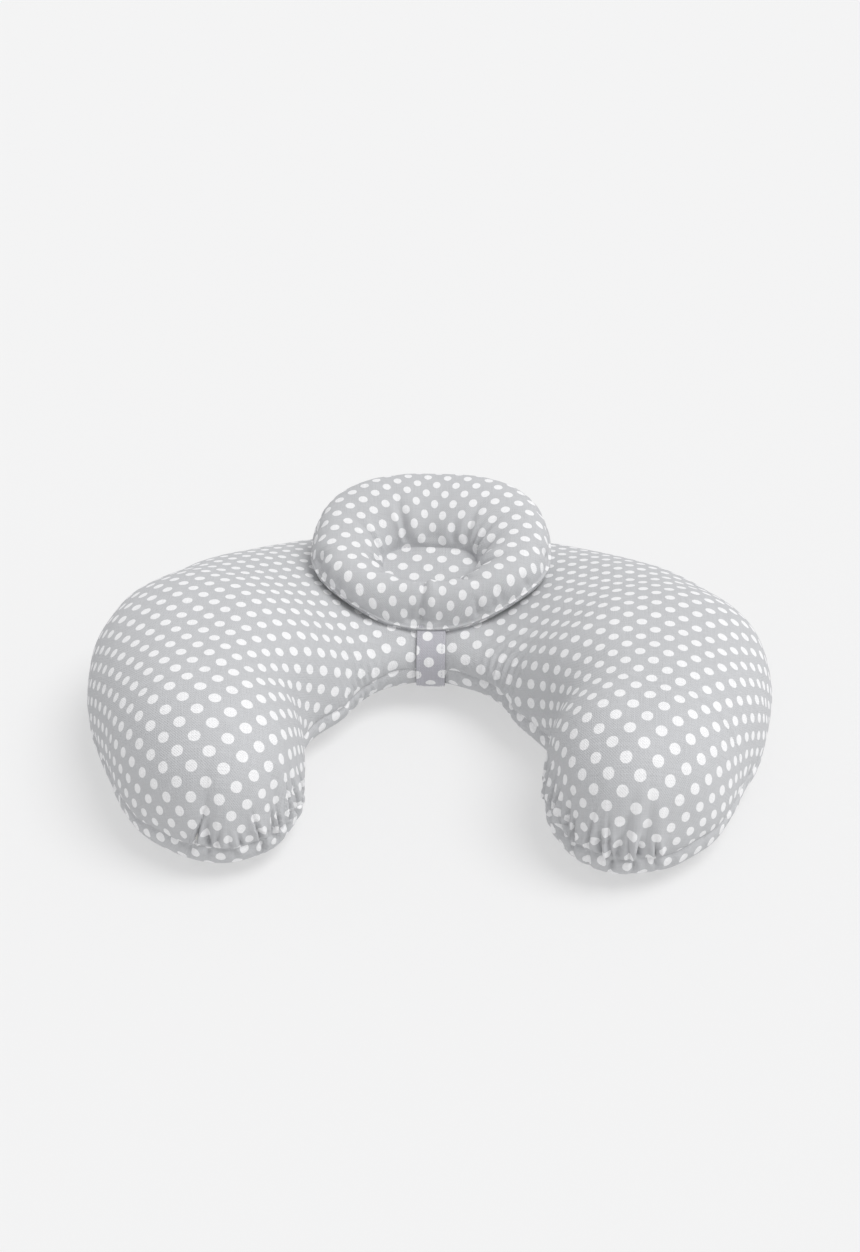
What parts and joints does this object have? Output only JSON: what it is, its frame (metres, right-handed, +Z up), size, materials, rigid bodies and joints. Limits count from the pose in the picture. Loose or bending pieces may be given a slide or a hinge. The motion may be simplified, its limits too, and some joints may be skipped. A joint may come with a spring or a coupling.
{
  "type": "nursing pillow",
  "caption": "C-shaped fibre-filled nursing pillow in a dotted cotton zip cover, with a dished head cushion held on by a fabric strap.",
  "frame": {"origin": "middle of the bounding box at the level of the surface the pillow lies on", "axes": "+X across both arms, to the right as seen from the open side; -Y towards the open side between the arms; +Z up"},
  "size_m": [0.601, 0.4824, 0.1525],
  "materials": {
    "dotted_cotton": "matt printed cotton weave",
    "white_lining": "matt plain cotton",
    "hollow_fibre": "matt fluffy fibre",
    "hook_tape": "matt",
    "loop_tape": "matt brushed loops",
    "zip_tape": "matt ribbed tape",
    "zip_teeth": "satin",
    "zip_metal": "satin",
    "satin_label": "satin"
  },
  "bodies": {
    "pillow": {"cover_top_panel": "dotted_cotton", "cover_bottom_panel": "dotted_cotton", "inner_case_upper": "white_lining", "inner_case_lower": "white_lining", "fibre_filling": "hollow_fibre", "zip_tape_upper": "zip_tape", "zip_tape_lower": "zip_tape", "zip_teeth_upper": "zip_teeth", "zip_teeth_lower": "zip_teeth", "zip_stop_start": "zip_metal", "zip_stop_end": "zip_metal", "care_label": "satin_label"},
    "zip_slider": {"zip_slider": "zip_metal"},
    "zip_pull_tab": {"zip_pull_tab": "zip_metal"},
    "strap": {"strap_front_wrap": "dotted_cotton"},
    "head_cushion": {"head_cushion_top": "dotted_cotton", "head_cushion_bottom": "dotted_cotton", "head_filling_ring": "hollow_fibre", "head_centre_wadding": "hollow_fibre", "loop_patch": "loop_tape"},
    "strap_flap": {"strap_rear_flap": "dotted_cotton", "hook_patch": "hook_tape"}
  },
  "joints": [
    {"name": "zip_slider_travel", "type": "hinge", "parent": "pillow", "child": "zip_slider", "pos_m": [0, -0.06886, 0.036], "axis": [0, 0, 1], "range_deg": [0, 45]},
    {"name": "pull_tab_flip", "type": "hinge", "parent": "zip_slider", "child": "zip_pull_tab", "pos_m": [-0.13104, 0.21561, 0.036], "axis": [0, 0, -1], "range_deg": [0, 165]},
    {"name": "strap_shift", "type": "hinge", "parent": "pillow", "child": "strap", "pos_m": [0, -0.06886, 0.036], "axis": [0, 0, 1], "range_deg": [-6, 6]},
    {"name": "head_cushion_tilt", "type": "hinge", "parent": "strap", "child": "head_cushion", "pos_m": [0, 0.02264, 0.07463], "axis": [1, 0, 0], "range_deg": [0, 85]},
    {"name": "strap_flap_peel", "type": "hinge", "parent": "strap", "child": "strap_flap", "pos_m": [0, 0.24044, 0.036], "axis": [-1, 0, 0], "range_deg": [0, 90]}
  ]
}
